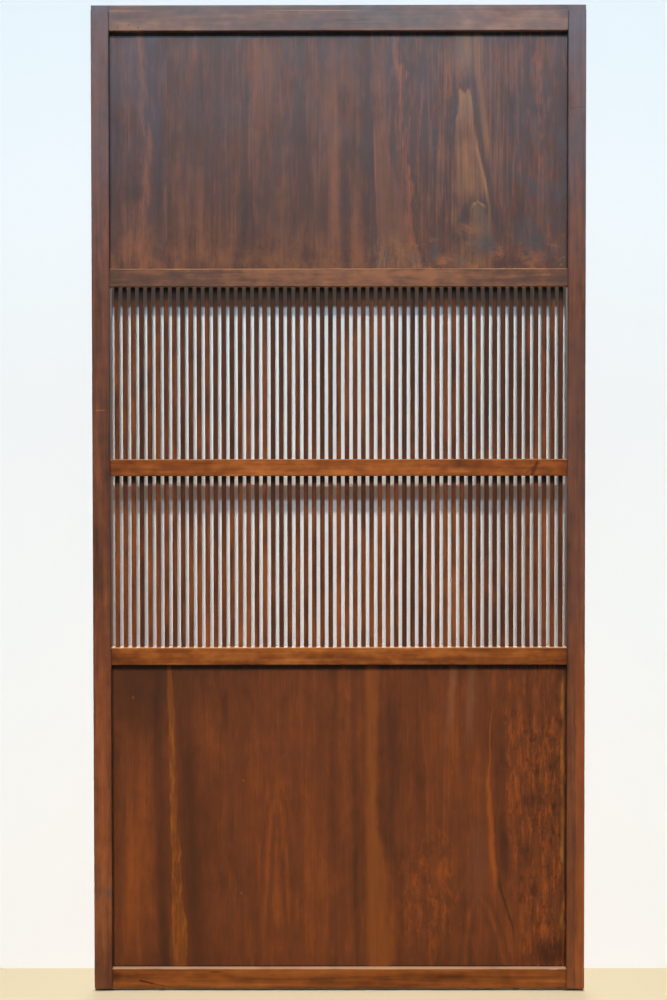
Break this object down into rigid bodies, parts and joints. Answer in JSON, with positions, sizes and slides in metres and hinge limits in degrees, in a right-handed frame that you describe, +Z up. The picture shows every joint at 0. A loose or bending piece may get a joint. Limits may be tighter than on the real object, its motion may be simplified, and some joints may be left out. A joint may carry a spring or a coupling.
{
  "type": "wooden sliding door",
  "caption": "Wooden sliding door leaf: wedged mortise-and-tenon frame, board panels above and below a fine vertical bar lattice, a lintel tongue and rollers let into its foot.",
  "frame": {"origin": "middle of the leaf's foot, at the level of the sill that the rollers run on", "axes": "+X to the right across the leaf as seen from its shown face, -Y out of the shown face, +Z up"},
  "size_m": [0.879, 0.03, 1.762],
  "materials": {
    "stile_wood": "old red-brown stained softwood, satin, worn paler along its edges",
    "rail_wood": "old orange-brown stained softwood, satin, grain along the rail",
    "panel_wood": "old dark stained boards with streaks and arched grain, satin",
    "bar_wood": "old stained thin bars, each a little different, satin",
    "wedge_wood": "paler end-grain wedges",
    "case_steel": "dull zinc-plated sheet, aged",
    "axle_steel": "plain steel pin",
    "wheel_iron": "dark iron, bright where it runs"
  },
  "bodies": {
    "leaf": {"stile_left": "stile_wood", "stile_right": "stile_wood", "top_rail": "rail_wood", "upper_rail": "rail_wood", "middle_rail": "rail_wood", "lower_rail": "rail_wood", "bottom_rail": "rail_wood", "tenon_wedges": "wedge_wood", "upper_panel_board_left": "panel_wood", "upper_panel_board_middle": "panel_wood", "upper_panel_board_right": "panel_wood", "lower_panel_board_left": "panel_wood", "lower_panel_board_middle": "panel_wood", "lower_panel_board_right": "panel_wood", "lattice_bars": "bar_wood", "roller_case_left": "case_steel", "roller_case_right": "case_steel", "roller_axle_left": "axle_steel", "roller_axle_right": "axle_steel", "roller_nails": "case_steel"},
    "left_wheel": {"roller_wheel_left": "wheel_iron"},
    "right_wheel": {"roller_wheel_right": "wheel_iron"}
  },
  "joints": [
    {"name": "left_wheel_spin", "type": "hinge", "parent": "leaf", "child": "left_wheel", "pos_m": [-0.3195, 0, 0.012], "axis": [0, 1, 0], "continuous": true},
    {"name": "right_wheel_spin", "type": "hinge", "parent": "leaf", "child": "right_wheel", "pos_m": [0.3195, 0, 0.012], "axis": [0, 1, 0], "continuous": true}
  ]
}
